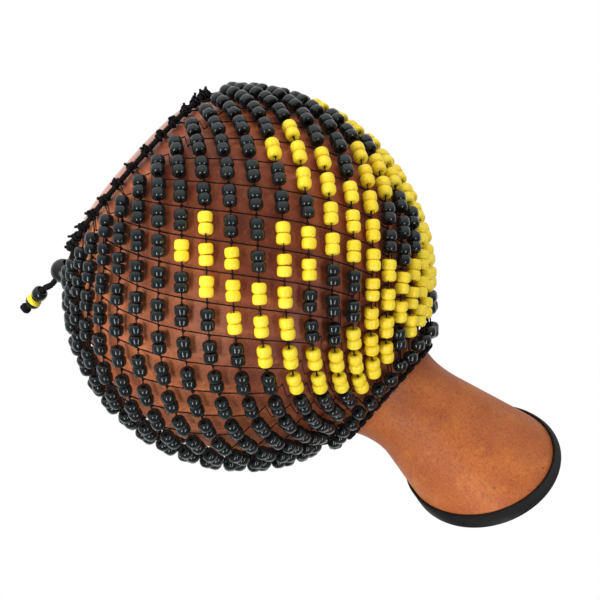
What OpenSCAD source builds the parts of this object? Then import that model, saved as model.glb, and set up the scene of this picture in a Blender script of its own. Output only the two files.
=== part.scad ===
// Shekere: a hollow gourd-shaped shell in a loose net of beads, with a slanted mouth.
// The shell stands on its flat base at the origin, and +Z runs up the neck's axis to the mouth.
// The belly bulges off that axis to one side, as a grown gourd's does.
// The net is one family of beaded threads that climb one way round the shell, crossed by
// bare threads that climb the other way, and both are hitched to a cord at each end.

/* [Shell] */
// Wall of the shell
wall = 3.2; // [2.4:0.1:4]
// Radius of the belly's curve, seen from the side
belly_curve_r = 103; // [98:1:108]
// How far past the axis that curve is centred
belly_curve_shift = 11; // [8:0.1:14]
// How much smaller the ball is that bulges out beside the axis
bulge_inset = 11; // [9:0.5:14]
// How far beside the axis that ball is centred
bulge_shift = 9; // [6:0.1:9]
// Height of the ball's lowest point over the floor
bulge_low_z = 1; // [0:0.1:4]
// Radius of the flat face under the base
base_flat_r = 32; // [24:1:36]
// Radius where the rounded heel runs into the belly
heel_r = 50; // [46:0.5:52]
// Height at which it does
heel_z = 4.5; // [3:0.1:6]
// Radius of the narrowest place of the neck
waist_r = 28; // [26:0.5:30]
// Radius of the hollow curve from the belly to the neck
neck_curve_r = 40; // [34:0.1:46]
// Slope of the neck's flare against the axis
flare_angle = 13.2; // [10:0.1:16]
// How far the slanted mouth's plane lies over the narrowest place, on the axis
mouth_rise = 45.1; // [40:0.1:50]
// Slant of the mouth against the level
mouth_tilt = 36.1; // [25:0.1:42]
// How far the high lip lies round from the front towards the left
mouth_turn = 22.7; // [0:0.1:45]

/* [Rubber trim] */
// Depth of the trim below the rim
trim_depth = 7.6; // [5:0.1:10]
// How far the trim stands over the rim
trim_over = 1.8; // [1:0.1:3]
// Thickness of the trim's two cheeks
trim_cheek = 1.5; // [1:0.1:2.2]

/* [Beads] */
// Outer diameter of a bead
bead_d = 8.2; // [7.8:0.1:8.4]
// Length of a bead
bead_l = 5.9; // [5.4:0.1:6]
// Diameter of a bead's hole
bead_bore_d = 4; // [3.6:0.1:4.4]
// How far a bead's outer corners are eased
bead_ease = 1.2; // [1:0.1:1.5]

/* [Net] */
// Beaded threads round the net
strands = 30; // [26:2:30]
// Rows of bead pairs from the base up
rows = 17; // [12:1:17]
// Diameter of the threads
thread_d = 1; // [0.8:0.1:1]
// How far the net hangs off the shell all round
hang = 1.1; // [1.1:0.1:2]
// How much farther it hangs off on its slack side
slack = 3; // [0:0.5:5]

/* [Cords] */
// Diameter of the neck cord and the draw cord
cord_d = 2.9; // [2.4:0.1:3]
// How far the neck cord lies under the narrowest place
neck_cord_drop = 14.7; // [13:0.1:16]
// Height of the draw cord
draw_cord_z = 6.1; // [5:0.1:8]
// Thickness of the hitches' turns round the cords
hitch_d = 1.2; // [1:0.1:1.2]

/* [Toggle] */
// Diameter of the ball on the draw cord's ends
ball_d = 14; // [13:0.5:14]
// Diameter of the two beads near the cord's end
tail_bead_d = 9; // [8.6:0.1:9]
// Diameter of the knot that ends the cord
knot_d = 6.6; // [6:0.1:6.8]

/* [Hidden] */
ROW_NAMES = ["01", "02", "03", "04", "05", "06", "07", "08", "09", "10", "11", "12", "13", "14", "15", "16", "17"];
BLACK_NODES = [for (name = ROW_NAMES) str("black_beads_", name)];
YELLOW_NODES = [for (row = [4:15]) str("yellow_beads_", ROW_NAMES[row])];

// Fits and clearances
gap = 0.3;
snug = 0.1;
overrun = 10;
round_sides = 96;
bead_sides = 48;

// The belly's curve runs through the heel, and the neck's hollow curve touches it
heel_angle = acos((heel_r + belly_curve_shift) / belly_curve_r);
belly_z = heel_z + belly_curve_r * sin(heel_angle);
fillet_x = waist_r + neck_curve_r;
waist_rise = sqrt(pow(belly_curve_r + neck_curve_r, 2) - pow(fillet_x + belly_curve_shift, 2));
fillet_angle = atan2(waist_rise, fillet_x + belly_curve_shift);
waist_z = belly_z + waist_rise;
mouth_z = waist_z + mouth_rise;
flare_end_z = mouth_z + 2 * waist_r;
bulge_r = belly_curve_r - bulge_inset;
bulge_centre = [bulge_shift, 0, bulge_low_z + bulge_r];

// The net's own curve is the belly's, raised by half a bead, then a straight run to the neck cord
bead_lift = hang + bead_d / 2;
net_curve_r = belly_curve_r + bead_lift;
cord_lift = cord_d / 2 + hitch_d + snug + gap;
neck_cord_z = waist_z - neck_cord_drop;
neck_cord_r = fillet_x - sqrt(pow(neck_curve_r - cord_lift, 2) - pow(neck_cord_drop, 2));
neck_cord_rise = neck_cord_z - belly_z;
draw_cord_angle = asin((belly_z - draw_cord_z) / (belly_curve_r + cord_lift));
draw_cord_r = (belly_curve_r + cord_lift) * cos(draw_cord_angle) - belly_curve_shift;
net_end_x = fillet_x - sqrt(pow(neck_curve_r - bead_lift, 2) - pow(neck_cord_drop, 2));
net_end_reach = norm([net_end_x + belly_curve_shift, neck_cord_rise]);
net_leave_angle = atan2(neck_cord_rise, net_end_x + belly_curve_shift) - acos(net_curve_r / net_end_reach);
net_leave_s = net_curve_r * net_leave_angle * PI / 180;
net_end_s = net_leave_s + sqrt(pow(net_end_reach, 2) - pow(net_curve_r, 2));
net_start_s = -net_curve_r * draw_cord_angle * PI / 180;
net_run = net_end_s - net_start_s;

// Rows, as shares of the net's run: where the first one lies, how far apart they are, and how
// much farther apart each row near the neck lies than the one below it
first_row_share = 0.0808;
row_pitch_share = 0.0533;
row_stretch_share = 0.00246;
even_row_count = 12;

// Threads: how high they run over the shell, and how far they turn in a row
beaded_thread_lift = bead_lift - bead_bore_d / 2 + thread_d + gap;
bare_thread_lift = beaded_thread_lift - thread_d - snug;
valley_lift = hang + thread_d / 2 + snug;
beaded_turn_share = 0.616;
bare_turn_share = beaded_turn_share - 1;
strand_step = 360 / strands;
start_turn = -112.7;
loose_row_count = 12;
tuck_share = 0.2;
hitch_spacing = 2 * thread_d + hitch_d + 6 * snug;

// The draw cord's two ends run out side by side: points chosen along their middle
tail_route = [
    [53.2, 25.9, 3.8], [58.6, 29.52, 5.6], [64, 33.14, 7.2], [71.9, 38.42, 7.2], [82.7, 45.66, 7.2],
    [87.27, 48.72, 4.8], [91.09, 51.28, 4.8], [94, 53.23, 4.8], [96.91, 55.18, 4.8],
    [99.32, 56.79, 4.8], [103.05, 59.3, 3.6]];
ball_place = 3;
black_bead_place = 6;
yellow_bead_place = 8;
knot_place = 10;
tail_bore_d = 2 * cord_d + snug + 3 * gap;
tail_bead_ease = 0.8;

shell_colour = "#964832";
rubber_colour = "#1c1c1e";
black_colour = "#121315";
yellow_colour = "#f2d21c";
cord_colour = "#161412";

// Shell's outer outline, drawn in by an inset
function belly_point(angle, inset) =
    [(belly_curve_r - inset) * cos(angle) - belly_curve_shift, belly_z + (belly_curve_r - inset) * sin(angle)];

function fillet_point(angle, inset) =
    [fillet_x - (neck_curve_r + inset) * cos(angle), waist_z - (neck_curve_r + inset) * sin(angle)];

belly_steps = 30;
fillet_steps = 12;
heel_steps = 4;

heel_corner_r = heel_r - heel_z * tan(heel_angle);

function heel_point(share, inset) =
    pow(1 - share, 2) * [base_flat_r, inset]
    + 2 * share * (1 - share) * [heel_corner_r, inset]
    + pow(share, 2) * belly_point(-heel_angle, inset);

function flare_r(z, inset) =
    fillet_point(-flare_angle, inset)[0] + (z - fillet_point(-flare_angle, inset)[1]) * tan(flare_angle);

function outline(inset, top_z) = concat(
    [[0, inset]],
    [for (k = [0:heel_steps - 1]) heel_point(k / heel_steps, inset)],
    [for (k = [0:belly_steps]) belly_point(-heel_angle + (fillet_angle + heel_angle) * k / belly_steps, inset)],
    [for (k = [1:fillet_steps])
        fillet_point(fillet_angle - (fillet_angle + flare_angle) * k / fillet_steps, inset)],
    [[flare_r(top_z, inset), top_z], [0, top_z]]);

module body_of_revolution(inset, top_z) {
    rotate_extrude($fn = round_sides) polygon(outline(inset, top_z));
}

module bulging_body(inset, top_z) {
    body_of_revolution(inset, top_z);
    translate(bulge_centre)
        sphere(r = bulge_r - inset, $fn = round_sides);
}

// Everything above the mouth's plane, raised by some way
module above_mouth(raise) {
    size = 4 * belly_curve_r;
    translate([0, 0, mouth_z])
        rotate([0, 0, -mouth_turn])
            rotate([-mouth_tilt, 0, 0])
                translate([-size / 2, -size / 2, raise])
                    cube(size);
}

// Net: a place on it, from how far up the shell, how far round and how high over the shell
function slack_share(s, turn) =
    pow(max(0, cos(turn)), 4)
    * (1 - pow((2 * s - net_start_s - net_end_s) / net_run, 4));

function swung(flat, turn) = [flat[0] * cos(turn), flat[0] * sin(turn), flat[1]];

// How far out from a place the bulge's ball ends, when it is raised by a lift
function bulge_reach(place, out, lift) =
    let (off = place - bulge_centre,
         ahead = off * out,
         room = ahead * ahead - off * off + pow(bulge_r + lift, 2))
    room > 0 ? sqrt(room) - ahead : 0;

function net_place(s, turn, lift) =
    let (angle = min(s, net_leave_s) / net_curve_r * 180 / PI,
         past = max(0, s - net_leave_s),
         flat = belly_point(angle, 0) + past * [-sin(angle), cos(angle)],
         place = swung(flat, turn),
         out = swung([cos(angle), sin(angle)], turn),
         high = lift + slack * slack_share(s, turn))
    place + max(high, bulge_reach(place, out, high)) * out;

function knot_line_s(level) =
    net_start_s + net_run * (first_row_share + row_pitch_share * (level - 0.5)
        + row_stretch_share / 2 * pow(max(0, level - even_row_count), 2));

function strand_turn(index, level, turn_share) = start_turn + (index + turn_share * level) * strand_step;

function unit(v) = v / norm(v);

// Where a thread is tied: beside its hitch on a cord, short of the cord itself
function tied_end(cord_r, cord_z, turn, side, next) =
    let (centre = [cord_r * cos(turn), cord_r * sin(turn), cord_z],
         along = [-sin(turn), cos(turn), 0],
         seat = centre + side * (thread_d / 2 + snug) * along)
    seat + (cord_d / 2 + snug) * unit(next - seat);

function between_ends(index, turn_share, side, inner) = concat(
    [tied_end(draw_cord_r, draw_cord_z, strand_turn(index, 0, turn_share), side, inner[0])],
    inner,
    [tied_end(neck_cord_r, neck_cord_z, strand_turn(index, rows, turn_share), -side, inner[len(inner) - 1])]);

function knot_place(index, level, turn_share, lift) =
    net_place(knot_line_s(level), strand_turn(index, level, turn_share), lift);

// Where the rows are tight, a bare thread drops into the valley between two beaded threads
function valley_places(index, level) =
    level > 0 && level < loose_row_count || level == rows ? []
    : [for (at = [level + tuck_share, level + 1 - tuck_share])
        net_place(knot_line_s(at), strand_turn(index - level - 0.5, at, beaded_turn_share), valley_lift)];

function beaded_points(index) = between_ends(index, beaded_turn_share, 1,
    [for (level = [0:rows]) knot_place(index, level, beaded_turn_share, beaded_thread_lift)]);

function bare_points(index) = between_ends(index, bare_turn_share, -1,
    [for (level = [0:rows])
        each concat([knot_place(index, level, bare_turn_share, bare_thread_lift)], valley_places(index, level))]);

// Tube along points, with its sides counted from the outward direction
function ring_of(point, ahead, d, sides) =
    let (side = unit(cross(ahead, [point[0], point[1], 0])),
         out = cross(side, ahead))
    [for (k = [0:sides - 1]) point + d / 2 * (cos(360 * k / sides) * out + sin(360 * k / sides) * side)];

module tube(points, d, sides) {
    last = len(points) - 1;
    rings = [for (k = [0:last])
        ring_of(points[k], unit(points[min(k + 1, last)] - points[max(k - 1, 0)]), d, sides)];
    polyhedron(
        points = [for (ring = rings) each ring],
        faces = concat(
            [[for (k = [0:sides - 1]) k]],
            [for (j = [0:last - 1], k = [0:sides - 1], half = [0, 1])
                let (a = j * sides + k, b = j * sides + (k + 1) % sides)
                half == 0 ? [a, a + sides, b] : [b, a + sides, b + sides]],
            [[for (k = [0:sides - 1]) last * sides + sides - 1 - k]]));
}

// Bead: a short barrel with eased corners, its hole along Z
module bead(outer_d, bore_d, ease) {
    rotate_extrude($fn = bead_sides)
        polygon([
            [bore_d / 2, -bead_l / 2],
            [outer_d / 2 - ease, -bead_l / 2],
            [outer_d / 2, -bead_l / 2 + ease],
            [outer_d / 2, bead_l / 2 - ease],
            [outer_d / 2 - ease, bead_l / 2],
            [bore_d / 2, bead_l / 2]]);
}

// Turns the Z axis to a direction and moves to a place
module aim(place, ahead) {
    translate(place)
        rotate([0, acos(unit(ahead)[2]), atan2(ahead[1], ahead[0])])
            children();
}

// The one of two places that lies farther out from the belly's centre
function farther(one, other) =
    let (centre = [0, 0, belly_z])
    norm(one - centre) > norm(other - centre) ? one : other;

// Two beads on each leg, but one in the row by the neck, where they would crowd
module leg_beads(index, row) {
    level = row - 1;
    turn_below = strand_turn(index, level, beaded_turn_share);
    turn_above = strand_turn(index, level + 1, beaded_turn_share);
    below = net_place(knot_line_s(level), turn_below, bead_lift);
    above = net_place(knot_line_s(level + 1), turn_above, bead_lift);
    middle = farther(
        net_place(knot_line_s(level + 0.5), (turn_below + turn_above) / 2, bead_lift),
        (below + above) / 2);
    ahead = unit(above - below);
    for (side = row == rows ? [-1] : [-1, 1])
        aim(middle + side * (bead_l + snug) / 2 * ahead, ahead)
            bead(bead_d, bead_bore_d, bead_ease);
}

// Pattern: upright stripes every fourth column, joined by two double bands, with a tooth between
// stripes under the lower band and a gap over each stripe above the upper band
panel_column_count = 16;
stripe_step_count = 4;
stripe_rows = [5, 13];
band_rows = [9, 10, 14, 15];
tooth_rows = [8];
top_rows = [16];

function column(index, row) = (index > strands / 2 ? index - strands : index) + (row - 4) / 2;

function is_yellow(index, row) =
    let (c = -column(index, row),
         in_panel = c >= -0.5 && c <= panel_column_count + 0.5,
         past_stripe = c - stripe_step_count * round(c / stripe_step_count),
         in_stripe = abs(past_stripe) <= 0.5 && row >= stripe_rows[0] && row <= stripe_rows[1],
         in_band = len(search(row, band_rows)) > 0,
         in_tooth = len(search(row, tooth_rows)) > 0 && abs(past_stripe) == stripe_step_count / 2,
         in_top = len(search(row, top_rows)) > 0 && past_stripe != 0)
    in_panel && (in_stripe || in_band || in_tooth || in_top);

module bead_row(row, yellow) {
    for (index = [0:strands - 1])
        if (is_yellow(index, row) == yellow)
            leg_beads(index, row);
}

// Cords
module cord_ring(ring_r, z) {
    translate([0, 0, z])
        rotate_extrude($fn = round_sides)
            translate([ring_r, 0])
                circle(d = cord_d, $fn = round_sides);
}

module hitches(ring_r, z, level) {
    for (index = [0:strands - 1], side = [-1, 1])
        rotate([0, 0, strand_turn(index, level, beaded_turn_share)])
            translate([ring_r, side * hitch_spacing / 2, z])
                rotate([90, 0, 0])
                    rotate_extrude($fn = bead_sides)
                        translate([cord_d / 2 + snug + hitch_d / 2, 0])
                            circle(d = hitch_d, $fn = bead_sides);
}

function tail_ahead(place) =
    unit(tail_route[min(place + 1, knot_place)] - tail_route[max(place - 1, 0)]);

function tail_points(side) =
    [for (place = [0:knot_place])
        tail_route[place] + side * (cord_d + snug) / 2 * unit(cross([0, 0, 1], tail_ahead(place)))];

module draw_tail(side) {
    color(cord_colour)
        tube(tail_points(side), cord_d, 8);
}

module shell() {
    color(shell_colour)
        difference() {
            bulging_body(0, flare_end_z);
            bulging_body(wall, flare_end_z + overrun);
            above_mouth(0);
        }
}

module mouth_trim() {
    color(rubber_colour)
        difference() {
            body_of_revolution(-trim_cheek - snug, flare_end_z);
            body_of_revolution(wall + trim_cheek + snug, flare_end_z + overrun);
            above_mouth(trim_over);
            difference() {
                body_of_revolution(-trim_cheek - overrun, flare_end_z + overrun);
                above_mouth(-trim_depth);
            }
            difference() {
                body_of_revolution(-snug, flare_end_z);
                body_of_revolution(wall + snug, flare_end_z + overrun);
                above_mouth(snug);
            }
        }
}

module beaded_threads() {
    color(cord_colour)
        for (index = [0:strands - 1])
            tube(beaded_points(index), thread_d, 4);
}

module bare_threads() {
    color(cord_colour)
        for (index = [0:strands - 1])
            tube(bare_points(index), thread_d, 4);
}

module neck_cord() {
    color(cord_colour)
        cord_ring(neck_cord_r, neck_cord_z);
}

module neck_hitches() {
    color(cord_colour)
        hitches(neck_cord_r, neck_cord_z, rows);
}

module draw_cord() {
    color(cord_colour)
        cord_ring(draw_cord_r, draw_cord_z);
}

module draw_hitches() {
    color(cord_colour)
        hitches(draw_cord_r, draw_cord_z, 0);
}

module toggle_ball() {
    color(black_colour)
        aim(tail_route[ball_place], tail_ahead(ball_place))
            difference() {
                sphere(d = ball_d, $fn = round_sides);
                cylinder(d = tail_bore_d, h = 2 * ball_d, center = true, $fn = round_sides);
            }
}

module tail_bead(place) {
    aim(tail_route[place], tail_ahead(place))
        bead(tail_bead_d, tail_bore_d, tail_bead_ease);
}

module tail_bead_black() {
    color(black_colour)
        tail_bead(black_bead_place);
}

module tail_bead_yellow() {
    color(yellow_colour)
        tail_bead(yellow_bead_place);
}

module end_knot() {
    color(cord_colour)
        aim(tail_route[knot_place], tail_ahead(knot_place))
            sphere(d = knot_d, $fn = round_sides);
}

module black_beads(row) {
    color(black_colour)
        bead_row(row, false);
}

module yellow_beads(row) {
    color(yellow_colour)
        bead_row(row, true);
}

shell();
mouth_trim();
beaded_threads();
bare_threads();
neck_cord();
neck_hitches();
draw_cord();
draw_hitches();
draw_tail(-1);  // draw_tail_left
draw_tail(1);  // draw_tail_right
toggle_ball();
tail_bead_black();
tail_bead_yellow();
end_knot();
for (row = [1:rows]) black_beads(row);
for (row = [5:16]) yellow_beads(row);
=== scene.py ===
"""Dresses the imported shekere: beads, threads, knots and cords, its finishes, the light and the camera."""

import math

import bpy
import numpy as np
from mathutils import Matrix, Vector


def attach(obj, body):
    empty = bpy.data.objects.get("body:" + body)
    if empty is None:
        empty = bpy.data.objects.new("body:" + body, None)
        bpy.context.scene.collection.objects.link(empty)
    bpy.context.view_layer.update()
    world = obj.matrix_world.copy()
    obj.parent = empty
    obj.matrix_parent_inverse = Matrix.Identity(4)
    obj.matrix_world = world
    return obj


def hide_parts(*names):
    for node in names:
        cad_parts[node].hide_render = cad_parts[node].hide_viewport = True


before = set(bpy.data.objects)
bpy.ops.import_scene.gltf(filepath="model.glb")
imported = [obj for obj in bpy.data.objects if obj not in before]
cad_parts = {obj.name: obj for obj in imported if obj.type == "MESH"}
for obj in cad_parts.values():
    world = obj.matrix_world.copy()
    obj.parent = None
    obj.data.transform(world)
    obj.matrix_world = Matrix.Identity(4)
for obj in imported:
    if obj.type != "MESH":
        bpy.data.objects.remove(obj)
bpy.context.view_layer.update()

MM = 0.001
rng = np.random.default_rng(7)

# Sizes in millimetres, angles, counts and shares, as part.scad has them
BELLY_CURVE_R = 103.0
BELLY_SHIFT = 11.0
BULGE_INSET = 11.0
BULGE_SHIFT = 9.0
BULGE_LOW_Z = 1.0
BULGE_R = BELLY_CURVE_R - BULGE_INSET
BULGE_CENTRE = np.array([BULGE_SHIFT, 0.0, BULGE_LOW_Z + BULGE_R])
BASE_FLAT_R = 32.0
HEEL_R = 50.0
HEEL_Z = 4.5
WAIST_R = 28.0
NECK_CURVE_R = 40.0
FLARE_ANGLE = math.radians(13.2)
WALL = 3.2
TRIM_CHEEK = 1.5
GAP = 0.3
SNUG = 0.1
HANG = 1.1
SLACK = 3.0
BEAD_D = 8.2
BEAD_L = 5.9
BEAD_BORE_D = 4.0
STRANDS = 30
ROWS = 17
FIRST_ROW_SHARE = 0.0808
ROW_PITCH_SHARE = 0.0533
ROW_STRETCH_SHARE = 0.00246
EVEN_ROWS = 12
LOOSE_ROWS = 12
START_TURN = -112.7
BEADED_SHARE = 0.616
BARE_SHARE = BEADED_SHARE - 1
TUCK_SHARE = 0.2
THREAD_D = 1.0
CORD_D = 2.9
HITCH_D = 1.2
NECK_CORD_DROP = 14.7
DRAW_CORD_Z = 6.1
TAIL_BEAD_D = 9.0
KNOT_D = 6.6
TAIL_ROUTE = [
    (53.2, 25.9, 3.8),
    (58.6, 29.52, 5.6),
    (64, 33.14, 7.2),
    (71.9, 38.42, 7.2),
    (82.7, 45.66, 7.2),
    (87.27, 48.72, 4.8),
    (91.09, 51.28, 4.8),
    (94, 53.23, 4.8),
    (96.91, 55.18, 4.8),
    (99.32, 56.79, 4.8),
    (103.05, 59.3, 3.6),
]
BLACK_BEAD_PLACE = 6
YELLOW_BEAD_PLACE = 8

# Millimetres and angles that follow the photograph a little more closely than the solids do
MOUTH_RISE = 45.4
MOUTH_TILT = math.radians(38.8)
MOUTH_TURN = math.radians(16.0)
TRIM_DEPTH = 2.5
TRIM_OVER = 1.7
TRIM_SKEW = 1.2
TRIM_CORNER = 0.8
NECK_LEAN = -2.1
LEAN_START_Z = 187.0
LEAN_RUN = 28.0
SEEN_THREAD_D = 0.8
SEEN_NECK_CORD_D = 2.0
SEEN_BORE_D = 2.2
TAIL_BORE_D = 6.6
BAND_W = 2.6

# Where the last row's single beads lie on their legs, by turns, in half bead lengths past the middle
LAST_ROW_SIDES = (0.4, 1.0)

# Small play, in millimetres, or as a share for the beads' sizes and leans
BEAD_PLAY = 0.22
BEAD_LEAN = 0.06
BEAD_SPREAD = 0.03
BARE_SAG = 0.5
KNOT_SINK = 0.4

# How far beside its knot a thread is tied to a cord, in degrees, and its wraps there, in millimetres
TIE_TURN = 1.2
WRAP_STEP = 0.75

# Knots, as width and height in millimetres, and the cut ends that stand out of them
NET_KNOT = (2.3, 1.9)
DRAW_KNOT = (4.8, 4.0)
DRAW_KNOT_OUT = 1.2
DRAW_KNOT_DROP = 1.4
STUB_D = 1.5
STUB_REACH = (1.8, 3.7)
END_KNOT_STRAND_D = 2.6
LOOP_R = (KNOT_D - END_KNOT_STRAND_D - SNUG) / 2
LOOP_STEP = 0.9

# Laid cords: the length of one turn, then the strands' reach and width as shares of the cord
NECK_LAY = 3.6
DRAW_LAY = 5.5
TAIL_LAY = 5.0
RING_STRAND_REACH = 0.29
RING_STRAND_WIDTH = 0.58
TAIL_STRAND_REACH = 0.3
TAIL_STRAND_WIDTH = 0.56

# How finely the smooth pieces are drawn
ROUND_SIDES = 216
HEEL_STEPS = 9
BELLY_STEPS = 100
NECK_STEPS = 40
FLARE_STEPS = 14
CORNER_STEPS = 6
CORE_R = 2.0
BEAD_SIDES = 14
KNOT_STEPS = 6
RING_POINTS = 180
LAY_STEPS = 8
WRAP_POINTS = 11
LOOP_POINTS = 17


# The shell's and the net's rule


def polar(r, z, turn):
    return np.array([r * math.cos(turn), r * math.sin(turn), z])


class ShellRule:
    """The shell's outline: a heel, a round belly, a hollow curve to the waist and a straight flare."""

    def __init__(self):
        self.heel_angle = math.acos((HEEL_R + BELLY_SHIFT) / BELLY_CURVE_R)
        self.belly_z = HEEL_Z + BELLY_CURVE_R * math.sin(self.heel_angle)
        self.fillet_x = WAIST_R + NECK_CURVE_R
        centres = BELLY_CURVE_R + NECK_CURVE_R
        rise = math.sqrt(centres**2 - (self.fillet_x + BELLY_SHIFT) ** 2)
        self.fillet_angle = math.atan2(rise, self.fillet_x + BELLY_SHIFT)
        self.waist_z = self.belly_z + rise
        self.mouth_z = self.waist_z + MOUTH_RISE
        self.neck_cord_z = self.waist_z - NECK_CORD_DROP

    def belly_point(self, angle, inset=0.0):
        r = BELLY_CURVE_R - inset
        return np.array([r * math.cos(angle) - BELLY_SHIFT, self.belly_z + r * math.sin(angle)])

    def fillet_point(self, angle, inset=0.0):
        r = NECK_CURVE_R + inset
        return np.array([self.fillet_x - r * math.cos(angle), self.waist_z - r * math.sin(angle)])

    def mouth_point(self, turn, inset, rise=0.0):
        """Where the flare, drawn in by an inset, meets the mouth's plane, raised by some way."""
        r, z = self.fillet_point(-FLARE_ANGLE, inset)
        slope = math.tan(FLARE_ANGLE)
        lean = math.tan(MOUTH_TILT) * math.sin(turn + MOUTH_TURN)
        high = (self.mouth_z + rise / math.cos(MOUTH_TILT) - lean * (r - z * slope)) / (1 + lean * slope)
        return np.array([r + (high - z) * slope, high])

    def beside_fillet(self, lift):
        return self.fillet_x - math.sqrt((NECK_CURVE_R - lift) ** 2 - NECK_CORD_DROP**2)

    def bulge_reach(self, place, out, lift=0.0):
        """How far out from a place the bulge's ball ends, when it is raised by a lift."""
        off = place - BULGE_CENTRE
        ahead = float(off @ out)
        room = ahead**2 - float(off @ off) + (BULGE_R + lift) ** 2
        return math.sqrt(room) - ahead if room > 0 else 0.0


shell = ShellRule()


class NetRule:
    """The curve that the net lies on, and the places of its knots, as part.scad works them out."""

    def __init__(self):
        self.bead_lift = HANG + BEAD_D / 2
        self.curve_r = BELLY_CURVE_R + self.bead_lift
        self.cord_lift = CORD_D / 2 + HITCH_D + SNUG + GAP
        self.neck_cord_r = shell.beside_fillet(self.cord_lift)
        neck_rise = shell.neck_cord_z - shell.belly_z
        end_x = shell.beside_fillet(self.bead_lift)
        end_reach = math.hypot(end_x + BELLY_SHIFT, neck_rise)
        self.leave_angle = math.atan2(neck_rise, end_x + BELLY_SHIFT) - math.acos(self.curve_r / end_reach)
        self.leave_s = self.curve_r * self.leave_angle
        self.end_s = self.leave_s + math.sqrt(end_reach**2 - self.curve_r**2)
        draw_angle = math.asin((shell.belly_z - DRAW_CORD_Z) / (BELLY_CURVE_R + self.cord_lift))
        self.start_s = -self.curve_r * draw_angle
        self.run = self.end_s - self.start_s
        self.draw_cord_r = (BELLY_CURVE_R + self.cord_lift) * math.cos(draw_angle) - BELLY_SHIFT

    def place(self, s, turn, lift):
        """A place from how far up the shell, how far round in degrees and how high over the shell."""
        turn = math.radians(turn)
        span = (2 * s - self.start_s - self.end_s) / self.run
        high = lift + SLACK * max(0.0, math.cos(turn)) ** 4 * (1 - span**4)
        angle = min(s, self.leave_s) / self.curve_r
        past = max(0.0, s - self.leave_s)
        r, z = shell.belly_point(angle) + past * np.array([-math.sin(angle), math.cos(angle)])
        place = polar(r, z, turn)
        out = polar(math.cos(angle), math.sin(angle), turn)
        return place + max(high, shell.bulge_reach(place, out, high)) * out

    def knot_s(self, level):
        stretch = ROW_STRETCH_SHARE / 2 * max(0, level - EVEN_ROWS) ** 2
        return self.start_s + self.run * (FIRST_ROW_SHARE + ROW_PITCH_SHARE * (level - 0.5) + stretch)

    def turn(self, index, level, share):
        return START_TURN + (index + share * level) * 360 / STRANDS

    def knot(self, index, level, share, lift):
        return self.place(self.knot_s(level), self.turn(index, level, share), lift)

    def on_ring(self, ring_r, z, turn):
        return polar(ring_r, z, math.radians(turn))


net = NetRule()


def unit(v):
    v = np.asarray(v, float)
    return v / np.linalg.norm(v)


def is_yellow(index, row):
    """Upright stripes every fourth column, two double bands, teeth and a top row.

    The rule is part.scad's, but for the last band's first pair, which the photograph shows black.
    """
    wrapped = index - STRANDS if index > STRANDS / 2 else index
    column = -(wrapped + (row - 4) / 2)
    past_stripe = column - 4 * math.floor(column / 4 + 0.5)
    in_stripe = abs(past_stripe) <= 0.5 and 5 <= row <= 13
    in_band = row in (9, 10, 14) or (row == 15 and column > 0)
    in_tooth = row == 8 and abs(past_stripe) == 2
    in_top = row == 16 and past_stripe != 0
    return -0.5 <= column <= 16.5 and (in_stripe or in_band or in_tooth or in_top)


# Meshes


def mesh_object(name, vertices, faces=(), edges=(), smooth=True):
    mesh = bpy.data.meshes.new(name)
    mesh.from_pydata([tuple(v) for v in vertices], list(edges), list(faces))
    mesh.update()
    if smooth and mesh.polygons:
        mesh.shade_smooth()
    piece = bpy.data.objects.new(name, mesh)
    bpy.context.scene.collection.objects.link(piece)
    return piece


def revolve(profile, sides):
    """Vertices and faces of a closed ring turned from a profile of (radius, height), outside first."""
    count = len(profile)
    vertices = []
    for k in range(sides):
        angle = 2 * math.pi * k / sides
        vertices += [(r * math.cos(angle), r * math.sin(angle), z) for r, z in profile]
    faces = []
    for k in range(sides):
        a, b = k * count, (k + 1) % sides * count
        for j in range(count):
            n = (j + 1) % count
            faces.append((a + j, b + j, b + n, a + n))
    return vertices, faces


# Geometry Nodes


def new_tree(name, inputs):
    """A geometry tree with a geometry input and output, and named inputs, each with its kind."""
    tree = bpy.data.node_groups.new(name, "GeometryNodeTree")
    tree.interface.new_socket("Geometry", in_out="INPUT", socket_type="NodeSocketGeometry")
    for label, kind in inputs.items():
        tree.interface.new_socket(label, in_out="INPUT", socket_type="NodeSocket" + kind)
    tree.interface.new_socket("Geometry", in_out="OUTPUT", socket_type="NodeSocketGeometry")
    return tree, tree.nodes.new("NodeGroupInput"), tree.nodes.new("NodeGroupOutput")


def add_node(tree, kind, settings=None, inputs=None):
    node = tree.nodes.new(kind)
    for key, value in (settings or {}).items():
        setattr(node, key, value)
    for key, value in (inputs or {}).items():
        if isinstance(value, bpy.types.NodeSocket):
            tree.links.new(value, node.inputs[key])
        else:
            node.inputs[key].default_value = value
    return node


def finish_tree(tree, given, out, made):
    """Makes what a tree has made real, gives it its finish and sends it out."""
    real = add_node(tree, "GeometryNodeRealizeInstances", None, {0: made})
    finish = add_node(
        tree,
        "GeometryNodeSetMaterial",
        None,
        {"Geometry": real.outputs[0], "Material": given.outputs["Finish"]},
    )
    tree.links.new(finish.outputs[0], out.inputs[0])


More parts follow.
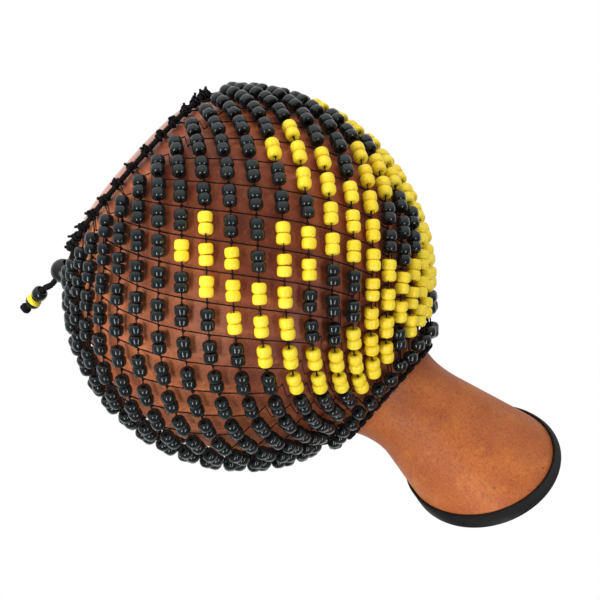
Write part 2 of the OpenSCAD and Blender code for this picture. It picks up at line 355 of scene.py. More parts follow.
def copies_tree():
    """Copies a small piece onto every point, turned to the point's own direction, with a little play."""
    tree, given, out = new_tree(
        "copies on points",
        {"Piece": "Object", "Tilt": "Float", "Size spread": "Float", "Finish": "Material"},
    )
    tilt = given.outputs["Tilt"]
    spread = given.outputs["Size spread"]
    along = add_node(
        tree, "GeometryNodeInputNamedAttribute", {"data_type": "FLOAT_VECTOR"}, {"Name": "along"}
    )
    aimed = add_node(
        tree, "FunctionNodeAlignRotationToVector", {"axis": "Z"}, {"Vector": along.outputs["Attribute"]}
    )
    low = add_node(tree, "ShaderNodeMath", {"operation": "MULTIPLY"}, {0: tilt, 1: -1.0}).outputs[0]
    low_turn = add_node(tree, "ShaderNodeCombineXYZ", None, {0: low, 1: low, 2: -math.pi})
    high_turn = add_node(tree, "ShaderNodeCombineXYZ", None, {0: tilt, 1: tilt, 2: math.pi})
    play = add_node(
        tree,
        "FunctionNodeRandomValue",
        {"data_type": "FLOAT_VECTOR"},
        {"Min": low_turn.outputs[0], "Max": high_turn.outputs[0], "Seed": 3},
    )
    spin = add_node(tree, "FunctionNodeEulerToRotation", None, {0: play.outputs[0]})
    turned = add_node(
        tree,
        "FunctionNodeRotateRotation",
        {"rotation_space": "LOCAL"},
        {0: aimed.outputs[0], 1: spin.outputs[0]},
    )
    small = add_node(tree, "ShaderNodeMath", {"operation": "SUBTRACT"}, {0: 1.0, 1: spread})
    size = add_node(
        tree, "FunctionNodeRandomValue", {"data_type": "FLOAT"}, {2: small.outputs[0], 3: 1.0, "Seed": 11}
    )
    piece = add_node(tree, "GeometryNodeObjectInfo", None, {"Object": given.outputs["Piece"]})
    copies = add_node(
        tree,
        "GeometryNodeInstanceOnPoints",
        None,
        {
            "Points": given.outputs["Geometry"],
            "Instance": piece.outputs["Geometry"],
            "Rotation": turned.outputs[0],
            "Scale": size.outputs[1],
        },
    )
    finish_tree(tree, given, out, copies.outputs[0])
    return tree


def strands_tree():
    """Makes a round strand along each line of points."""
    tree, given, out = new_tree(
        "strands along lines", {"Thickness": "Float", "Sides": "Int", "Finish": "Material"}
    )
    line = add_node(tree, "GeometryNodeMeshToCurve", None, {0: given.outputs["Geometry"]})
    thickness = given.outputs["Thickness"]
    radius = add_node(tree, "ShaderNodeMath", {"operation": "MULTIPLY"}, {0: thickness, 1: 0.5})
    ring = add_node(
        tree,
        "GeometryNodeCurvePrimitiveCircle",
        None,
        {"Resolution": given.outputs["Sides"], "Radius": radius.outputs[0]},
    )
    strand = add_node(
        tree,
        "GeometryNodeCurveToMesh",
        None,
        {"Curve": line.outputs[0], "Profile Curve": ring.outputs[0], "Fill Caps": True},
    )
    soft = add_node(tree, "GeometryNodeSetShadeSmooth", None, {0: strand.outputs[0]})
    finish_tree(tree, given, out, soft.outputs[0])
    return tree


COPIES = copies_tree()
STRANDS_TREE = strands_tree()


def grown(name, source, tree, values):
    """The plain mesh that a geometry tree makes from a source object, which is then removed."""
    modifier = source.modifiers.new(name, "NODES")
    modifier.node_group = tree
    for socket in tree.interface.items_tree:
        if socket.in_out == "INPUT" and socket.name in values:
            modifier[socket.identifier] = values[socket.name]
    source.update_tag()
    depsgraph = bpy.context.evaluated_depsgraph_get()
    mesh = bpy.data.meshes.new_from_object(source.evaluated_get(depsgraph), depsgraph=depsgraph)
    bpy.data.objects.remove(source)
    mesh.name = name
    piece = bpy.data.objects.new(name, mesh)
    bpy.context.scene.collection.objects.link(piece)
    return piece


def copies_on(name, places, directions, template, finish, tilt=0.0, spread=0.0):
    """Copies of a template on places in millimetres, each with its length along its direction."""
    points = mesh_object(name + " points", [p * MM for p in places])
    along = points.data.attributes.new("along", "FLOAT_VECTOR", "POINT")
    along.data.foreach_set("vector", np.asarray(directions, float).ravel())
    return grown(
        name, points, COPIES, {"Piece": template, "Tilt": tilt, "Size spread": spread, "Finish": finish}
    )


def strands_along(name, lines, thickness, finish, sides=6):
    """Round strands along lines of points in millimetres, as one mesh."""
    vertices, edges = [], []
    for line in lines:
        first = len(vertices)
        vertices += [p * MM for p in line]
        edges += [(first + k, first + k + 1) for k in range(len(line) - 1)]
    source = mesh_object(name + " lines", vertices, edges=edges)
    return grown(
        name, source, STRANDS_TREE, {"Thickness": thickness * MM, "Sides": sides, "Finish": finish}
    )


# Finishes

BLACK_COLOUR = (0.006, 0.0085, 0.009, 1)
BLACK_TINT = (0.011, 0.015, 0.016, 1)
YELLOW_COLOUR = (0.93, 0.68, 0.02, 1)
YELLOW_TINT = (0.97, 0.77, 0.04, 1)
BAND_COLOUR = (0.86, 0.7, 0.03, 1)


class Finish:
    """A material being built: its node tree, its principled shader and the object's own coordinates."""

    def __init__(self, name):
        self.material = bpy.data.materials.new(name)
        self.material.use_nodes = True
        self.tree = self.material.node_tree
        self.shader = self.tree.nodes["Principled BSDF"]
        self.coords = self.tree.nodes.new("ShaderNodeTexCoord").outputs["Object"]

    def node(self, kind, settings=None, inputs=None):
        return add_node(self.tree, kind, settings, inputs)

    def set(self, **values):
        for key, value in values.items():
            socket = self.shader.inputs[key.replace("_", " ")]
            if isinstance(value, bpy.types.NodeSocket):
                self.tree.links.new(value, socket)
            else:
                socket.default_value = value

    def noise(self, scale, detail=3.0, roughness=0.55, vector=None, distortion=0.0):
        node = self.node(
            "ShaderNodeTexNoise",
            None,
            {
                "Vector": vector or self.coords,
                "Scale": scale,
                "Detail": detail,
                "Roughness": roughness,
                "Distortion": distortion,
            },
        )
        return node.outputs["Fac"]

    def spots(self, scale, vector=None):
        inputs = {"Vector": vector or self.coords, "Scale": scale}
        return self.node("ShaderNodeTexVoronoi", {"feature": "F1"}, inputs).outputs["Distance"]

    def remap(self, value, low, high, to_low=0.0, to_high=1.0):
        node = self.node(
            "ShaderNodeMapRange",
            None,
            {"Value": value, "From Min": low, "From Max": high, "To Min": to_low, "To Max": to_high},
        )
        return node.outputs["Result"]

    def mix(self, share, first, second, blend="MIX"):
        node = self.node("ShaderNodeMix", {"data_type": "RGBA", "blend_type": blend})
        for socket, value in ((node.inputs[0], share), (node.inputs[6], first), (node.inputs[7], second)):
            if isinstance(value, bpy.types.NodeSocket):
                self.tree.links.new(value, socket)
            else:
                socket.default_value = value
        return node.outputs[2]

    def math(self, operation, a, b):
        return self.node("ShaderNodeMath", {"operation": operation}, {0: a, 1: b}).outputs[0]

    def bump(self, height, strength, distance):
        node = self.node(
            "ShaderNodeBump", None, {"Height": height, "Strength": strength, "Distance": distance * MM}
        )
        return node.outputs["Normal"]


def lacquered_shell():
    """Reddish brown lacquer over a grainy ground, redder on the belly and more orange up the neck.

    The belly's colours are darker, partly as painted shade of the net over it. One side of the base end has
    a painted glow, lighter and more orange, and the edge that it rests on is painted pale as a painted
    reflection.
    """
    f = Finish("lacquered shell")
    place = f.node("ShaderNodeSeparateXYZ", None, {0: f.coords}).outputs
    height = place["Z"]
    up_neck = f.remap(height, 0.165, 0.2)
    cloud = f.remap(f.noise(26, 5, 0.62, distortion=0.4), 0.32, 0.68)
    # The belly's colours are darker than the neck's: partly painted shade of the beaded net over it, partly
    # the lacquer's redder tone
    belly = f.mix(cloud, (0.2, 0.036, 0.015, 1), (0.37, 0.09, 0.031, 1))
    neck = f.mix(cloud, (0.3, 0.068, 0.017, 1), (0.46, 0.132, 0.03, 1))
    # Painted glow: one side of the base end is painted lighter and more orange, standing in for the light
    # that falls from that side
    aside = f.math("SUBTRACT", place["X"], f.math("MULTIPLY", height, 0.2))
    side_glow_colour = f.mix(cloud, (0.33, 0.085, 0.035, 1), (0.56, 0.18, 0.075, 1))
    with_side_glow = f.mix(f.remap(aside, -0.01, 0.045), belly, side_glow_colour)
    # Painted reflection: the lowest few millimetres, round the edge that the base rests on, are painted
    # pale pink
    with_edge_sheen = f.mix(f.remap(height, 0.0, 0.006, 0.75, 0.0), with_side_glow, (0.46, 0.27, 0.24, 1))
    ground = f.mix(up_neck, with_edge_sheen, neck)
    bruise = f.remap(f.noise(70, 4, 0.6), 0.56, 0.72)
    bruised = f.mix(f.math("MULTIPLY", bruise, 0.35), ground, (0.2, 0.04, 0.018, 1))
    amber = f.remap(f.noise(105, 4, 0.6), 0.54, 0.7)
    warmed = f.mix(f.math("MULTIPLY", amber, 0.45), bruised, (0.52, 0.17, 0.04, 1))
    grain = f.remap(f.noise(820, 2, 0.5), 0.5, 0.66)
    grained = f.mix(f.math("MULTIPLY", grain, 0.42), warmed, (0.13, 0.03, 0.012, 1))
    pale = f.remap(f.noise(620, 2, 0.5, distortion=0.6), 0.56, 0.72)
    speckled = f.mix(f.math("MULTIPLY", pale, 0.22), grained, (0.6, 0.24, 0.08, 1))
    pits = f.remap(f.spots(62), 0.035, 0.06, 1.0, 0.0)
    pitted = f.mix(f.math("MULTIPLY", pits, 0.6), speckled, (0.07, 0.02, 0.012, 1))
    f.set(
        Base_Color=pitted,
        Roughness=f.remap(f.noise(60, 3), 0.3, 0.7, 0.52, 0.64),
        Specular_IOR_Level=0.35,
        Coat_Weight=f.remap(height, 0.012, 0.04, 0.9, 0.08),
        Coat_Roughness=0.3,
        Normal=f.bump(f.noise(420, 3), 0.25, 0.25),
    )
    return f.material


def trim_rubber():
    f = Finish("trim rubber")
    scuffs = f.noise(160, 4, 0.6)
    f.set(
        Base_Color=f.mix(scuffs, (0.003, 0.003, 0.0032, 1), (0.008, 0.008, 0.0085, 1)),
        Roughness=f.remap(scuffs, 0.3, 0.7, 0.4, 0.55),
        Specular_IOR_Level=0.27,
        Normal=f.bump(f.noise(500, 2), 0.12, 0.2),
    )
    return f.material


def bead_gloss(name, colour, tint, sheen, deep=0.0):
    """Moulded gloss beads, each a little lighter or darker than the next, with fine handling marks."""
    f = Finish(name)
    each = f.node("ShaderNodeNewGeometry").outputs["Random Per Island"]
    marks = f.noise(700, 3, 0.6)
    f.set(
        Base_Color=f.mix(each, colour, tint),
        Roughness=f.remap(marks, 0.35, 0.75, sheen, sheen + 0.1),
        Specular_IOR_Level=0.55,
        Subsurface_Weight=deep,
        Subsurface_Scale=0.002,
        Normal=f.bump(f.noise(260, 2), 0.06, 0.3),
    )
    return f.material


def waxed_thread():
    f = Finish("waxed thread")
    fibre = f.noise(1500, 2)
    f.set(
        Base_Color=f.mix(fibre, (0.002, 0.002, 0.002, 1), (0.01, 0.007, 0.007, 1)),
        Roughness=0.6,
        Specular_IOR_Level=0.2,
        Normal=f.bump(fibre, 0.4, 0.2),
    )
    return f.material


def braided_cord():
    f = Finish("braided cord")
    fibre = f.noise(1800, 2)
    f.set(
        Base_Color=f.mix(fibre, (0.003, 0.003, 0.003, 1), (0.013, 0.012, 0.012, 1)),
        Roughness=0.85,
        Specular_IOR_Level=0.15,
        Normal=f.bump(fibre, 0.6, 0.3),
    )
    return f.material


def banded_gloss(middle, ahead):
    """A black bead with a yellow band round its first part."""
    f = Finish("banded bead gloss")
    along = f.node(
        "ShaderNodeVectorMath", {"operation": "DOT_PRODUCT"}, {0: f.coords, 1: tuple(ahead)}
    ).outputs["Value"]
    wander = f.remap(f.noise(300, 2), 0.3, 0.7, -0.05 * MM, 0.05 * MM)
    edge = float(np.dot(middle, ahead)) * MM + (BAND_W - BEAD_L / 2) * MM
    banded = f.math("LESS_THAN", f.math("ADD", along, wander), edge)
    f.set(
        Base_Color=f.mix(banded, BLACK_COLOUR, BAND_COLOUR),
        Roughness=f.remap(f.noise(700, 3), 0.35, 0.75, 0.12, 0.25),
        Normal=f.bump(f.noise(260, 2), 0.06, 0.3),
    )
    return f.material


def ball_gloss():
    f = Finish("toggle ball gloss")
    wear = f.noise(240, 4, 0.6)
    f.set(
        Base_Color=f.mix(wear, (0.005, 0.005, 0.0055, 1), (0.014, 0.014, 0.015, 1)),
        Roughness=f.remap(wear, 0.3, 0.7, 0.22, 0.36),
        Normal=f.bump(wear, 0.08, 0.3),
    )
    return f.material


SHELL_FINISH = lacquered_shell()
RUBBER = trim_rubber()
BLACK = bead_gloss("black bead gloss", BLACK_COLOUR, BLACK_TINT, 0.12)
YELLOW = bead_gloss("yellow bead gloss", YELLOW_COLOUR, YELLOW_TINT, 0.3, deep=0.12)
THREAD = waxed_thread()
CORD = braided_cord()
BALL = ball_gloss()


def recoat(node, finish):
    """Gives a CAD node its finish."""
    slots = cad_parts[node].data.materials
    slots.clear()
    slots.append(finish)


recoat("toggle_ball", BALL)


# Shell and trim


def leaned(place):
    """A place on the neck, moved a little to one side, because a grown neck isn't quite upright."""
    share = min(1.0, max(0.0, (place[2] - LEAN_START_Z) / LEAN_RUN))
    return place + np.array([NECK_LEAN * share**2 * (3 - 2 * share), 0.0, 0.0])


def closed_rings(rings):
    """Vertices and faces of rings joined one to the next, with the last joined to the first."""
    count, sides = len(rings), len(rings[0])
    vertices = [leaned(point) * MM for ring in rings for point in ring]
    faces = []
    for j in range(count):
        n = (j + 1) % count
        for k in range(sides):
            m = (k + 1) % sides
            faces.append((j * sides + k, j * sides + m, n * sides + m, n * sides + k))
    return vertices, faces


def wall_line(turn, inset):
    """One upright line of the wall at a turn, from the base's edge up to the mouth."""
    corner = np.array([HEEL_R - HEEL_Z * math.tan(shell.heel_angle), inset])
    foot = np.array([BASE_FLAT_R, inset])
    heel = shell.belly_point(-shell.heel_angle, inset)
    line = []
    for u in np.linspace(0, 1, HEEL_STEPS)[:-1]:
        line.append(polar(*((1 - u) ** 2 * foot + 2 * u * (1 - u) * corner + u**2 * heel), turn))
    belly = np.linspace(-shell.heel_angle, shell.fillet_angle, BELLY_STEPS)
    neck = np.linspace(shell.fillet_angle, -FLARE_ANGLE, NECK_STEPS)[1:]
    for angles, point_at in ((belly, shell.belly_point), (neck, shell.fillet_point)):
        for angle in angles:
            place = polar(*point_at(angle, inset), turn)
            out = polar(math.cos(angle), math.sin(angle), turn)
            line.append(place + max(0.0, shell.bulge_reach(place, out, -inset)) * out)
    start = shell.fillet_point(-FLARE_ANGLE, inset)
    end = shell.mouth_point(turn, inset)
    line += [polar(*(start + u * (end - start)), turn) for u in np.linspace(0, 1, FLARE_STEPS)[1:]]
    return line


TURNS = np.linspace(0, 2 * math.pi, ROUND_SIDES, endpoint=False)


def smooth_shell():
    """The hollow shell as one fine skin, outside and inside, with a flat base and a cut mouth.

    The band between the two small rings at the middle of the base gives way to a cap on each.
    """
    outer = list(zip(*[wall_line(turn, 0.0) for turn in TURNS]))
    inner = list(zip(*[wall_line(turn, WALL) for turn in TURNS]))
    core = [[polar(CORE_R, z, turn) for turn in TURNS] for z in (WALL, 0.0)]
    vertices, faces = closed_rings(inner[::-1] + core + outer)
    first = len(inner) * ROUND_SIDES
    second = first + ROUND_SIDES
    faces = faces[:first] + faces[second:]
    faces.append(tuple(range(first, second)))
    faces.append(tuple(range(second + ROUND_SIDES - 1, second - 1, -1)))
    piece = mesh_object("shell_smooth", vertices, faces)
    piece.data.materials.append(SHELL_FINISH)
    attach(piece, "gourd")
    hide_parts("shell")


def trim_section():
    """The rubber channel's section, as insets and rises, with its two outer corners rounded."""
    outside = -TRIM_CHEEK - SNUG
    inside = WALL + TRIM_CHEEK + SNUG
    round_part = []
    for k in range(CORNER_STEPS + 1):
        angle = math.pi / 2 * k / CORNER_STEPS
        round_part.append((TRIM_CORNER * (1 - math.cos(angle)), TRIM_CORNER * (1 - math.sin(angle))))
    section = [(outside, -TRIM_DEPTH)]
    section += [(outside + a, TRIM_OVER - b) for a, b in round_part]
    section += [(inside - b, TRIM_OVER - a) for a, b in round_part]
    section += [(inside, -TRIM_DEPTH), (WALL + SNUG, -TRIM_DEPTH), (WALL + SNUG, SNUG)]
    section += [(-SNUG, SNUG), (-SNUG, -TRIM_DEPTH)]
    return section


def trim_skew(rise):
    """How far the channel's top, or its lower edges, lie off the rim's plane on one side."""
    if rise > 0.5 * TRIM_OVER:
        return TRIM_SKEW
    return -TRIM_SKEW if rise < 0 else 0.0


def smooth_trim():
    """The rubber channel over the rim, pushed on a little askew."""
    rings = []
    for inset, rise in trim_section():
        skew = trim_skew(rise)
        ring = [shell.mouth_point(turn, inset, rise + skew * math.cos(turn)) for turn in TURNS]
        rings.append([polar(*point, turn) for point, turn in zip(ring, TURNS)])
    piece = mesh_object("mouth_trim_rounded", *closed_rings(rings))
    piece.data.materials.append(RUBBER)
    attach(piece, "gourd")
    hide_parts("mouth_trim")


smooth_shell()
smooth_trim()


# Beads


def bead_template(outer_d, length, hole_d):
    """A barrel bead with rounded shoulders."""
    r, h, hole = outer_d / 2, length / 2, hole_d / 2
    outside = [
        (hole, -0.94 * h),
        (0.6 * r, -h),
        (0.84 * r, -0.88 * h),
        (0.975 * r, -0.56 * h),
        (r, 0.0),
        (0.975 * r, 0.56 * h),
        (0.84 * r, 0.88 * h),
        (0.6 * r, h),
        (hole, 0.94 * h),
    ]
    vertices, faces = revolve([(a * MM, b * MM) for a, b in outside], BEAD_SIDES)
    return mesh_object("bead template", vertices, faces)


def leg_beads(index, row):
    """Centres and directions of the beads on one leg of the net."""
    level = row - 1
    below = net.knot(index, level, BEADED_SHARE, net.bead_lift)
    above = net.knot(index, level + 1, BEADED_SHARE, net.bead_lift)
    on_curve = net.knot(index, level + 0.5, BEADED_SHARE, net.bead_lift)
    centre = np.array([0.0, 0.0, shell.belly_z])
    middle = max(on_curve, (below + above) / 2, key=lambda place: np.linalg.norm(place - centre))
    ahead = unit(above - below)
    sides = (LAST_ROW_SIDES[index % 2],) if row == ROWS else (-1, 1)
    return [(middle + side * (BEAD_L + SNUG) / 2 * ahead, ahead) for side in sides]


def string_beads():
    """The net's beads, row by row and colour by colour, each with a little play on its thread."""
    template = bead_template(BEAD_D, BEAD_L + SNUG, SEEN_BORE_D)
    for row in range(1, ROWS + 1):
        for yellow in (False, True):
            node = f"{'yellow' if yellow else 'black'}_beads_{row:02d}"
            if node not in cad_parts:
                continue
            beads = [
                bead
                for index in range(STRANDS)
                if is_yellow(index, row) == yellow
                for bead in leg_beads(index, row)
            ]
            places = [p + rng.uniform(-BEAD_PLAY, BEAD_PLAY, 3) for p, _ in beads]
            leans = [unit(a + rng.uniform(-BEAD_LEAN, BEAD_LEAN, 3)) for _, a in beads]
            finish = YELLOW if yellow else BLACK
            piece = copies_on(node + "_glossy", places, leans, template, finish, spread=BEAD_SPREAD)
            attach(piece, "net")
            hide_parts(node)
    bpy.data.objects.remove(template)


string_beads()


# Threads and knots

BEADED_LIFT = net.bead_lift - BEAD_BORE_D / 2 + THREAD_D + GAP
BARE_LIFT = BEADED_LIFT - THREAD_D - SNUG
VALLEY_LIFT = HANG + THREAD_D / 2 + SNUG


def draw_end(index, share, side):
    """Where a thread is tied to the draw cord, a little to one side of its knot."""
    return net.on_ring(net.draw_cord_r, DRAW_CORD_Z, net.turn(index, 0, share) + side * TIE_TURN)


def neck_end_turn(index, share, side):
    """How far round a thread is tied to the neck cord, in degrees."""
    return net.turn(index, ROWS, share) + side * TIE_TURN


def neck_end(index, share, side):
    return net.on_ring(net.neck_cord_r, shell.neck_cord_z, neck_end_turn(index, share, side))


def beaded_line(index):
    """One beaded thread: from the draw cord, through each pair of beads, to the neck cord."""
    points = [draw_end(index, BEADED_SHARE, 1)]
    for row in range(1, ROWS + 1):
        points.append(net.knot(index, row - 1, BEADED_SHARE, BEADED_LIFT))
        points += [p for p, _ in leg_beads(index, row)]
    points.append(net.knot(index, ROWS, BEADED_SHARE, BEADED_LIFT))
    points.append(neck_end(index, BEADED_SHARE, -1))
    return points


def bare_line(index):
    """One bare thread, which drops between the beads where the rows are tight."""
    points = [draw_end(index, BARE_SHARE, -1)]
    for level in range(ROWS + 1):
        points.append(net.knot(index, level, BARE_SHARE, BARE_LIFT))
        if level == ROWS:
            continue
        if level == 0 or level >= LOOSE_ROWS:
            for at in (level + TUCK_SHARE, level + 1 - TUCK_SHARE):
                valley_turn = net.turn(index - level - 0.5, at, BEADED_SHARE)
                points.append(net.place(net.knot_s(at), valley_turn, VALLEY_LIFT))
        else:
            half = net.turn(index, level + 0.5, BARE_SHARE)
            points.append(net.place(net.knot_s(level + 0.5), half, BARE_LIFT - BARE_SAG))
    points.append(neck_end(index, BARE_SHARE, 1))
    return points


def net_threads():
    for node, line in (("beaded_threads", beaded_line), ("bare_threads", bare_line)):
        lines = [line(index) for index in range(STRANDS)]
        piece = strands_along(node + "_waxed", lines, SEEN_THREAD_D, THREAD)
        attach(piece, "net")
        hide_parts(node)


def knot_template(width, height, sides=8):
    """A small tight knot: a fat ring with almost no hole, lopsided like one pulled home."""
    profile = []
    for k in range(KNOT_STEPS):
        angle = 2 * math.pi * k / KNOT_STEPS
        r = width / 4 + width / 4.6 * math.cos(angle)
        profile.append((r * MM, height / 2 * math.sin(angle) * MM))
    vertices, faces = revolve(profile, sides)
    vertices = [(x * 1.12, y * 0.9 + 0.1 * x, z + 0.18 * x) for x, y, z in vertices]
    return mesh_object("knot template", vertices, faces)


def net_knots():
    """The small knots where the two families of threads cross."""
    template = knot_template(*NET_KNOT)
    places, directions = [], []
    for index in range(STRANDS):
        for level in range(1, ROWS):
            place = net.knot(index, level, BEADED_SHARE, BEADED_LIFT - KNOT_SINK)
            places.append(place)
            ahead = net.knot(index, level + 0.2, BEADED_SHARE, BEADED_LIFT) - place
            directions.append(unit(ahead))
    piece = copies_on("net_knots", places, directions, template, THREAD, tilt=0.5, spread=0.25)
    bpy.data.objects.remove(template)
    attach(piece, "net")


net_threads()
net_knots()


# Cords


def route_length(points):
    return float(np.linalg.norm(np.diff(np.asarray(points), axis=0), axis=1).sum())


def ring_line(ring_r, z, count):
    """Points once round a ring, closed by coming back to the first."""
    return [net.on_ring(ring_r, z, 360 * k / count) for k in range(count + 1)]


def laid_strands(line, reach, pitch, count=3, start=0.0):
    """Lines that wind round a middle line, as the strands of a laid cord do."""
    line = np.asarray(line, float)
    steps = np.linalg.norm(np.diff(line, axis=0), axis=1)
    along = np.concatenate([[0.0], np.cumsum(steps)])
    steps_in_all = max(LAY_STEPS, int(along[-1] / pitch * LAY_STEPS))
    fine = np.linspace(0, along[-1], steps_in_all + 1)
    middle = np.stack([np.interp(fine, along, line[:, k]) for k in range(3)], axis=1)
    ahead = np.gradient(middle, axis=0)
    ahead /= np.linalg.norm(ahead, axis=1)[:, None]
    side = np.cross(ahead, [0.0, 0.0, 1.0])
    side /= np.linalg.norm(side, axis=1)[:, None]
    over = np.cross(side, ahead)
    strands = []
    for k in range(count):
        angle = 2 * math.pi * (fine / pitch + k / count) + start
        strands.append(middle + reach * (np.cos(angle)[:, None] * side + np.sin(angle)[:, None] * over))
    return strands


def laid_ring(node, ring_r, z, thickness, pitch):
    """A cord ring of three laid strands in place of a plain ring."""
    turns = round(2 * math.pi * ring_r / pitch)
    line = ring_line(ring_r, z, RING_POINTS)
    lines = laid_strands(line, RING_STRAND_REACH * thickness, route_length(line) / turns)
    piece = strands_along(node + "_laid", lines, RING_STRAND_WIDTH * thickness, CORD, sides=7)
    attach(piece, "net")
    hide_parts(node)


laid_ring("neck_cord", net.neck_cord_r, shell.neck_cord_z, SEEN_NECK_CORD_D, NECK_LAY)
laid_ring("draw_cord", net.draw_cord_r, DRAW_CORD_Z, CORD_D, DRAW_LAY)
recoat("draw_hitches", THREAD)


def neck_wrap(turn):
    """One turn of thread round the neck cord."""
    reach = (SEEN_NECK_CORD_D + SEEN_THREAD_D) / 2
    points = []
    for angle in np.linspace(0, 2 * math.pi, WRAP_POINTS):
        ring_r = net.neck_cord_r + reach * math.cos(angle)
        points.append(net.on_ring(ring_r, shell.neck_cord_z + reach * math.sin(angle), turn))
    return points


def neck_wraps():
    """The threads' turns round the neck cord: two wraps where each thread ends, pulled tight."""
    wraps = []
    for index in range(STRANDS):
        for share, side in ((BEADED_SHARE, -1), (BARE_SHARE, 1)):
            for step in (-WRAP_STEP, WRAP_STEP):
                step_turn = step * 180 / (math.pi * net.neck_cord_r)
                wraps.append(neck_wrap(neck_end_turn(index, share, side) + step_turn))
    piece = strands_along("neck_wraps", wraps, SEEN_THREAD_D, THREAD, sides=5)
    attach(piece, "net")
    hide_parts("neck_hitches")


neck_wraps()


def cut_ends():
    """Knots on the draw cord where each pair of threads ends, with their cut ends standing out."""
    template = knot_template(*DRAW_KNOT)
    knots, directions, stubs = [], [], []
    for index in range(STRANDS):
        turn = net.turn(index, 0, BEADED_SHARE)
        out = unit([math.cos(math.radians(turn)), math.sin(math.radians(turn)), 0])
        round_way = np.array([-out[1], out[0], 0])
        knot = net.on_ring(net.draw_cord_r + DRAW_KNOT_OUT, DRAW_CORD_Z - DRAW_KNOT_DROP, turn)
        knots.append(knot)
        directions.append(unit(round_way + rng.uniform(-0.4, 0.4, 3)))
        for _ in range(rng.integers(2, 5)):
            lean = 0.6 * out - [0, 0, 0.75] + rng.uniform(-0.9, 0.9) * round_way
            lean = unit(lean + rng.uniform(-0.25, 0.25, 3))
            reach = rng.uniform(*STUB_REACH)
            bend = rng.uniform(-0.3, 0.3, 3)
            stubs.append([knot, knot + 0.5 * reach * lean + bend * 0.4, knot + reach * lean + bend])
    piece = copies_on("draw_cord_knots", knots, directions, template, CORD, tilt=0.4, spread=0.2)
    bpy.data.objects.remove(template)
    ends = strands_along("cut_thread_ends", stubs, STUB_D, CORD, sides=6)
    for each in (piece, ends):
        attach(each, "net")


cut_ends()


def tail_ahead(place):
    last = len(TAIL_ROUTE) - 1
    return unit(np.subtract(TAIL_ROUTE[min(place + 1, last)], TAIL_ROUTE[max(place - 1, 0)]))


def tail_side(side):
    """The middle line of one of the draw cord's two ends."""
    points = []
    for place, point in enumerate(TAIL_ROUTE):
        across = unit(np.cross([0, 0, 1], tail_ahead(place)))
        points.append(np.array(point, float) + side * (CORD_D + SNUG) / 2 * across)
    return points


def tail_beads():
    """The two beads that keep the draw cord's ends together."""
    template = bead_template(TAIL_BEAD_D, BEAD_L + SNUG, TAIL_BORE_D)
    banded = banded_gloss(TAIL_ROUTE[YELLOW_BEAD_PLACE], tail_ahead(YELLOW_BEAD_PLACE))
    beads = []
    for node, place, finish, slot in (
        ("tail_bead_black", BLACK_BEAD_PLACE, BLACK, "bead_black"),
        ("tail_bead_yellow", YELLOW_BEAD_PLACE, banded, "bead_yellow"),
    ):
        bead = copies_on(
            node + "_glossy", [np.array(TAIL_ROUTE[place], float)], [tail_ahead(place)], template, finish
        )
        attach(bead, "tail_band")
        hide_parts(node)
        beads.append(bead)
    bpy.data.objects.remove(template)
    return beads


def tied_knot():
    """The knot that ends the tail: three loops pulled together, each tilted a little."""
    centre = np.array(TAIL_ROUTE[-1], float)
    loops = []
    for k in (-1, 0, 1):
        tilt = unit(tail_ahead(len(TAIL_ROUTE) - 1) + [0.35 * k, -0.3 * k, 0.25 * k])
        side = unit(np.cross(tilt, [0, 0, 1]))
        over = np.cross(side, tilt)
        middle = centre + k * LOOP_STEP * tilt
        ring = [
            middle + LOOP_R * (math.cos(a) * side + math.sin(a) * over)
            for a in np.linspace(0, 2 * math.pi, LOOP_POINTS)
        ]
        loops.append(ring)
    knot = strands_along("end_knot_tied", loops, END_KNOT_STRAND_D, CORD, sides=8)
    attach(knot, "net")
    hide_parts("end_knot")
    return knot


def draw_tails():
    """The draw cord's two ends, with the two beads and the knot that keep them together."""
    beads = tail_beads()
    knot = tied_knot()
    for node, side in (("draw_tail_left", -1), ("draw_tail_right", 1)):
        line = tail_side(side)
        lines = laid_strands(line, TAIL_STRAND_REACH * CORD_D, TAIL_LAY, start=side)
        tail = strands_along(node + "_laid", lines, TAIL_STRAND_WIDTH * CORD_D, CORD, sides=7)
        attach(tail, "net")
        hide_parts(node)


draw_tails()


# Stage, light and camera

CAMERA_DISTANCE = 1.8
CAMERA_RISE = math.radians(2.15)
CAMERA_ROLL = math.radians(41.35)
FRAME_WIDTH = 0.336
FRAME_PIXELS = 600
MIDDLE_PIXEL = (249.2, 267.5)
SENSOR_WIDTH = 36
LIGHT_AIM_Z = 0.12
FLOOR_REACH = 6
DIM_GLOW = 0.08
ROOM_LIGHT = 0.3


def photo_axes():
    """The photograph's right, up and toward-the-camera directions, in the part's own frame."""
    toward = Vector((0, -math.cos(CAMERA_RISE), math.sin(CAMERA_RISE)))
    tall = Vector((0, math.sin(CAMERA_RISE), math.cos(CAMERA_RISE)))
    level = Vector((1, 0, 0))
    right = math.cos(CAMERA_ROLL) * tall - math.sin(CAMERA_ROLL) * level
    up = -math.sin(CAMERA_ROLL) * tall - math.cos(CAMERA_ROLL) * level
    return right, up, toward


def aimed_at(place, side, back):
    """The matrix of a camera or light at a place, from its sideways and backward directions."""
    turned = Matrix((side, back.cross(side), back)).transposed()
    return Matrix.Translation(place) @ turned.to_4x4()


def set_camera():
    right, up, toward = photo_axes()
    centre = Vector((0, 0, shell.belly_z * MM))
    place = centre + CAMERA_DISTANCE * toward
    pixel = FRAME_WIDTH / FRAME_PIXELS
    across, down = (FRAME_PIXELS / 2 - place_in_photo for place_in_photo in MIDDLE_PIXEL)
    aim = centre + right * across * pixel - up * down * pixel
    back = (place - aim).normalized()
    side = up.cross(back).normalized()
    camera = bpy.data.objects.new("camera", bpy.data.cameras.new("camera"))
    bpy.context.scene.collection.objects.link(camera)
    camera.matrix_world = aimed_at(place, side, back)
    camera.data.sensor_width = SENSOR_WIDTH
    camera.data.lens = SENSOR_WIDTH * CAMERA_DISTANCE / FRAME_WIDTH
    camera.data.clip_end = 50
    bpy.context.scene.camera = camera


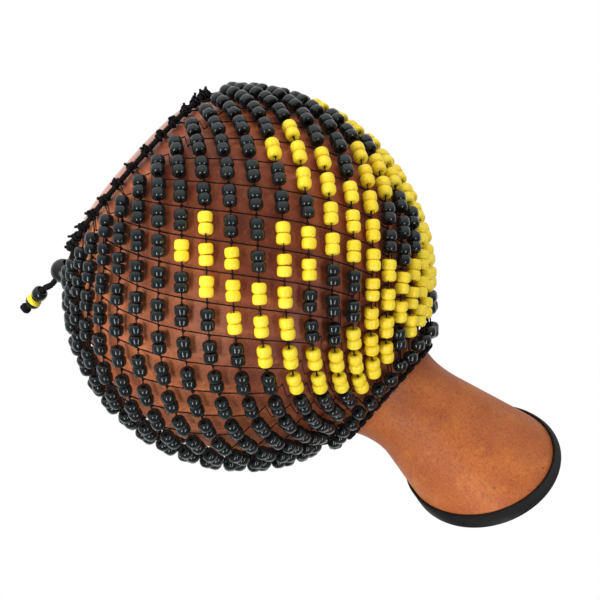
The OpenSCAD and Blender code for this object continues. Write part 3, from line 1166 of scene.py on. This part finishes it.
def soft_light(name, across, up_way, near, size, power, mirrored=True):
    """A soft box whose place is given along the photograph's right, up and toward directions."""
    right, up, toward = photo_axes()
    aim = Vector((0, 0, LIGHT_AIM_Z))
    place = aim + across * right + up_way * up + near * toward
    back = (place - aim).normalized()
    side = up.cross(back).normalized()
    light = bpy.data.objects.new(name, bpy.data.lights.new(name, "AREA"))
    light.data.shape = "RECTANGLE"
    light.data.size, light.data.size_y = size
    light.data.energy = power
    light.visible_glossy = mirrored
    light.matrix_world = aimed_at(place, side, back)
    bpy.context.scene.collection.objects.link(light)


def white_floor():
    """A floor that the camera sees as plain white."""
    ways = ((-1, -1), (1, -1), (1, 1), (-1, 1))
    corners = [(x * FLOOR_REACH, y * FLOOR_REACH, 0) for x, y in ways]
    floor = mesh_object("floor", corners, [(0, 1, 2, 3)], smooth=False)
    f = Finish("pale floor")
    path = f.node("ShaderNodeLightPath")
    white = f.node("ShaderNodeEmission", None, {"Color": (1, 1, 1, 1), "Strength": 1.0})
    f.set(Base_Color=(0.85, 0.85, 0.85, 1), Roughness=0.9)
    shown = f.node(
        "ShaderNodeMixShader",
        None,
        {0: path.outputs["Is Camera Ray"], 1: f.shader.outputs[0], 2: white.outputs[0]},
    )
    f.tree.links.new(shown.outputs[0], f.tree.nodes["Material Output"].inputs["Surface"])
    floor.data.materials.append(f.material)
    floor.visible_shadow = False
    floor.visible_diffuse = False
    floor.visible_glossy = False


def studio_world():
    """White to the camera, and in the gloss a dim room that glows behind the part and above it."""
    world = bpy.data.worlds.new("studio")
    bpy.context.scene.world = world
    world.use_nodes = True
    tree = world.node_tree
    path = add_node(tree, "ShaderNodeLightPath")
    way = add_node(tree, "ShaderNodeTexCoord").outputs["Generated"]
    _, up, toward = photo_axes()
    glows = []
    for facing, start, end, glow in ((-toward, 0.1, 0.6, 0.9), (up, -0.05, 0.8, 0.95)):
        share = add_node(
            tree, "ShaderNodeVectorMath", {"operation": "DOT_PRODUCT"}, {0: way, 1: tuple(facing)}
        )
        span = {"From Min": start, "From Max": end, "To Min": DIM_GLOW, "To Max": glow}
        ramp = add_node(tree, "ShaderNodeMapRange", None, {"Value": share.outputs["Value"], **span})
        glows.append(ramp.outputs[0])
    glow = add_node(tree, "ShaderNodeMath", {"operation": "MAXIMUM"}, {0: glows[0], 1: glows[1]})
    mirrored = add_node(
        tree,
        "ShaderNodeMix",
        {"data_type": "FLOAT"},
        {0: path.outputs["Is Glossy Ray"], 2: ROOM_LIGHT, 3: glow.outputs[0]},
    )
    room = add_node(
        tree, "ShaderNodeBackground", None, {"Color": (1, 1, 1, 1), "Strength": mirrored.outputs[0]}
    )
    white = add_node(tree, "ShaderNodeBackground", None, {"Color": (1, 1, 1, 1), "Strength": 1.0})
    shown = add_node(
        tree,
        "ShaderNodeMixShader",
        None,
        {0: path.outputs["Is Camera Ray"], 1: room.outputs[0], 2: white.outputs[0]},
    )
    tree.links.new(shown.outputs[0], tree.nodes["World Output"].inputs["Surface"])


white_floor()
studio_world()
set_camera()
soft_light("overhead soft box", 0.1, 1.3, 0.5, (1.4, 0.9), 13, mirrored=False)
soft_light("upper left soft box", -1.2, 0.55, 0.5, (0.9, 1.2), 9, mirrored=False)
soft_light("left soft box", -1.4, -0.2, 0.35, (0.7, 1.2), 17, mirrored=False)
soft_light("lower left strip", -0.6, -0.62, 1.05, (0.27, 1.1), 9)
soft_light("lower right strip", 0.72, -0.62, 1.0, (0.27, 1.1), 7.5)

scene = bpy.context.scene
scene.view_settings.view_transform = "Standard"
